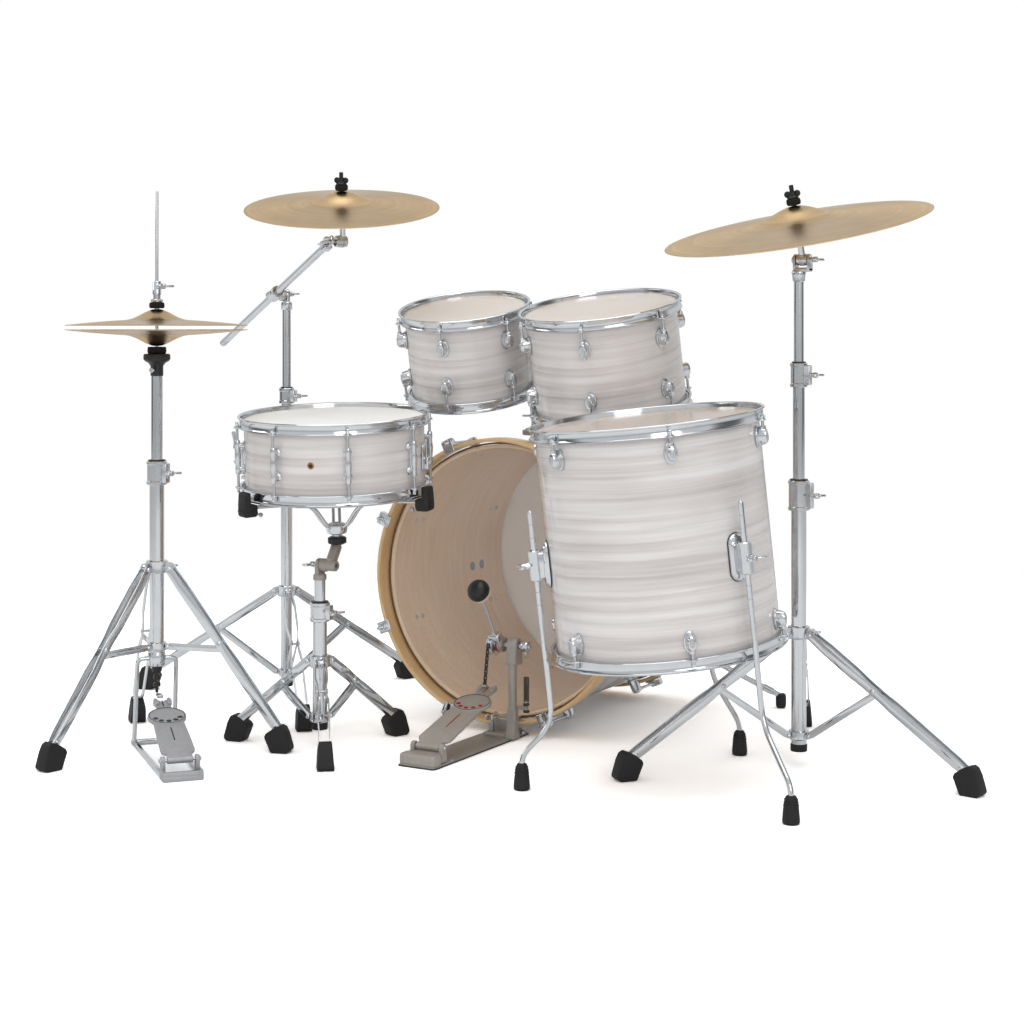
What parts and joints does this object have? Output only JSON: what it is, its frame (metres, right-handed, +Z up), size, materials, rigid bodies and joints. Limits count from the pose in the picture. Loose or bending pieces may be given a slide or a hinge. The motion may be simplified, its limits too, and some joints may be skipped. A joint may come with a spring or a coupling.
{
  "type": "acoustic drum kit",
  "caption": "Drum kit with bass drum, pedal, mounted toms, floor tom, snare, hi-hats and boom and straight cymbal stands.",
  "frame": {"origin": "bottom centre of the kit's box, on the floor", "axes": "+X to the player's right, +Y from the batter head of the bass drum to its front head, +Z up"},
  "size_m": [1.9702, 1.2603, 1.1565],
  "materials": {
    "pearl_wrap": "glossy pearl wrap over a wooden shell",
    "drum_head": "coated or clear polyester film",
    "maple": "clear-lacquered maple",
    "bronze": "lathed bronze",
    "rubber": "matt moulded rubber",
    "cast_metal": "grey powder coat",
    "felt_and_plastic": "black felt and plastic beater",
    "steel_wire": "spring steel",
    "chrome": "polished chrome"
  },
  "bodies": {
    "root": {"bass_shell": "pearl_wrap", "bass_heads": "drum_head", "bass_hoop_batter": "maple", "bass_hoop_front": "maple", "bass_fittings": "chrome", "leg_brackets": "chrome", "tom_holder": "chrome", "floor_tom_shell": "pearl_wrap", "floor_tom_heads": "drum_head", "floor_tom_hoops": "chrome", "floor_tom_fittings": "chrome", "hihat_base_tube": "chrome", "crash_base_tube": "chrome", "ride_base_tube": "chrome", "snare_base_tube": "chrome", "tripod_legs": "chrome", "tripod_braces": "chrome", "rubber_feet": "rubber", "hihat_pedal_frame": "cast_metal", "kick_pedal_frame": "cast_metal", "pedal_spring": "steel_wire"},
    "spur_left": {"spur_left": "chrome"},
    "spur_right": {"spur_right": "chrome"},
    "small_tom_post": {"tom_post_small": "chrome"},
    "large_tom_post": {"tom_post_large": "chrome"},
    "small_tom": {"small_tom_shell": "pearl_wrap", "small_tom_heads": "drum_head", "small_tom_hoops": "chrome", "small_tom_fittings": "chrome"},
    "large_tom": {"large_tom_shell": "pearl_wrap", "large_tom_heads": "drum_head", "large_tom_hoops": "chrome", "large_tom_fittings": "chrome"},
    "floor_leg_left": {"floor_leg_left": "chrome"},
    "floor_leg_right": {"floor_leg_right": "chrome"},
    "floor_leg_back": {"floor_leg_back": "chrome"},
    "snare_post": {"snare_upper_tube": "chrome"},
    "snare": {"snare_basket": "chrome", "snare_shell": "pearl_wrap", "snare_heads": "drum_head", "snare_hoops": "chrome", "snare_fittings": "chrome", "snare_wires": "steel_wire"},
    "throw_lever": {"snare_throw_lever": "chrome"},
    "hihat_footboard": {"hihat_footboard": "cast_metal"},
    "hihat_post": {"hihat_upper_tube": "chrome", "hihat_bottom_cymbal": "bronze"},
    "hihat_rod": {"hihat_pull_rod": "chrome", "hihat_top_cymbal": "bronze"},
    "crash_post": {"crash_upper_tube": "chrome"},
    "boom_clamp": {"crash_boom_clamp": "chrome"},
    "boom_arm": {"crash_boom_arm": "chrome"},
    "crash_tilter": {"crash_tilter": "chrome"},
    "crash_cymbal": {"crash_cymbal": "bronze"},
    "ride_middle": {"ride_middle_tube": "chrome"},
    "ride_upper": {"ride_upper_tube": "chrome"},
    "ride_tilter": {"ride_tilter": "chrome"},
    "ride_cymbal": {"ride_cymbal": "bronze"},
    "kick_footboard": {"kick_footboard": "cast_metal"},
    "kick_beater": {"kick_beater": "felt_and_plastic"}
  },
  "joints": [
    {"name": "spur_left_fold", "type": "hinge", "parent": "root", "child": "spur_left", "pos_m": [-0.27585, 0.5082, 0.13043], "axis": [0.809, 0, 0.5878], "range_deg": [0, 90]},
    {"name": "spur_right_fold", "type": "hinge", "parent": "root", "child": "spur_right", "pos_m": [0.21846, 0.5082, 0.13043], "axis": [0.809, 0, -0.5878], "range_deg": [0, 90]},
    {"name": "small_tom_height", "type": "slide", "parent": "root", "child": "small_tom_post", "axis": [0, 0, 1], "range_m": [0, 0.05]},
    {"name": "small_tom_tilt", "type": "hinge", "parent": "small_tom_post", "child": "small_tom", "pos_m": [-0.0707, 0.3482, 0.795], "axis": [0.9572, -0.2893, 0], "range_deg": [-6, 8]},
    {"name": "large_tom_height", "type": "slide", "parent": "root", "child": "large_tom_post", "axis": [0, 0, 1], "range_m": [0, 0.05]},
    {"name": "large_tom_tilt", "type": "hinge", "parent": "large_tom_post", "child": "large_tom", "pos_m": [0.0133, 0.3482, 0.79], "axis": [0.7456, 0.6664, 0], "range_deg": [0, 8]},
    {"name": "floor_leg_left_slide", "type": "slide", "parent": "root", "child": "floor_leg_left", "axis": [-0.0765, -0.0767, 0.9941], "range_m": [0, 0.06]},
    {"name": "floor_leg_right_slide", "type": "slide", "parent": "root", "child": "floor_leg_right", "axis": [-0.0765, -0.0767, 0.9941], "range_m": [0, 0.06]},
    {"name": "floor_leg_back_slide", "type": "slide", "parent": "root", "child": "floor_leg_back", "axis": [-0.0765, -0.0767, 0.9941], "range_m": [0, 0.06]},
    {"name": "snare_height", "type": "slide", "parent": "root", "child": "snare_post", "axis": [0, 0, 1], "range_m": [-0.03, 0.06]},
    {"name": "snare_tilt", "type": "hinge", "parent": "snare_post", "child": "snare", "pos_m": [-0.2632, -0.1988, 0.362], "axis": [1, 0, 0], "range_deg": [-5, 6]},
    {"name": "snare_throw_off", "type": "hinge", "parent": "snare", "child": "throw_lever", "pos_m": [-0.43082, -0.24733, 0.56413], "axis": [0.3487, -0.9343, -0.0743], "range_deg": [0, 75]},
    {"name": "hihat_footboard_press", "type": "hinge", "parent": "root", "child": "hihat_footboard", "pos_m": [-0.3453, -0.52431, 0.032], "axis": [-0.6428, -0.766, 0], "range_deg": [0, 1.6], "stiffness_Nm_per_rad": 20, "springref_deg": -17.19},
    {"name": "hihat_height", "type": "slide", "parent": "root", "child": "hihat_post", "axis": [0, 0, 1], "range_m": [0, 0.08]},
    {"name": "hihat_close", "type": "slide", "parent": "hihat_post", "child": "hihat_rod", "axis": [0, 0, 1], "range_m": [-0.0068, 0]},
    {"name": "crash_height", "type": "slide", "parent": "root", "child": "crash_post", "axis": [0, 0, 1], "range_m": [-0.025, 0.08]},
    {"name": "boom_tilt", "type": "hinge", "parent": "crash_post", "child": "boom_clamp", "pos_m": [-0.6219, 0.1707, 0.906], "axis": [-0.489, -0.8723, 0], "range_deg": [-8, 12]},
    {"name": "boom_slide", "type": "slide", "parent": "boom_clamp", "child": "boom_arm", "axis": [0.8193, -0.4593, 0.3434], "range_m": [-0.04, 0.04]},
    {"name": "crash_tilt", "type": "hinge", "parent": "boom_arm", "child": "crash_tilter", "pos_m": [-0.36788, 0.0283, 1.01246], "axis": [-0.489, -0.8723, 0], "range_deg": [-12, 12]},
    {"name": "crash_rock", "type": "hinge", "parent": "crash_tilter", "child": "crash_cymbal", "pos_m": [-0.35396, 0.004, 1.11677], "axis": [1, 0, 0], "range_deg": [-4, 4], "stiffness_Nm_per_rad": 6},
    {"name": "ride_lower_height", "type": "slide", "parent": "root", "child": "ride_middle", "axis": [0, 0, 1], "range_m": [-0.03, 0.06]},
    {"name": "ride_upper_height", "type": "slide", "parent": "ride_middle", "child": "ride_upper", "axis": [0, 0, 1], "range_m": [-0.03, 0.06]},
    {"name": "ride_tilt", "type": "hinge", "parent": "ride_upper", "child": "ride_tilter", "pos_m": [0.6188, 0.1377, 0.96], "axis": [1, 0, 0], "range_deg": [-12, 10]},
    {"name": "ride_rock", "type": "hinge", "parent": "ride_tilter", "child": "ride_cymbal", "pos_m": [0.61067, 0.11431, 1.06101], "axis": [1, 0, 0], "range_deg": [-4, 4], "stiffness_Nm_per_rad": 10},
    {"name": "kick_footboard_press", "type": "hinge", "parent": "root", "child": "kick_footboard", "pos_m": [-0.0042, -0.2058, 0.032], "axis": [-1, 0, 0], "range_deg": [0, 4.8], "stiffness_Nm_per_rad": 20, "springref_deg": -20.05},
    {"name": "kick_beater_swing", "type": "hinge", "parent": "root", "child": "kick_beater", "pos_m": [-0.0042, 0.0562, 0.19], "axis": [-1, 0, 0], "range_deg": [0, 46.6]}
  ],
  "couplings": [
    {"joint": "hihat_close", "follows": "hihat_footboard_press", "m_per_rad": -0.24},
    {"joint": "kick_beater_swing", "follows": "kick_footboard_press", "ratio": 9.7}
  ]
}
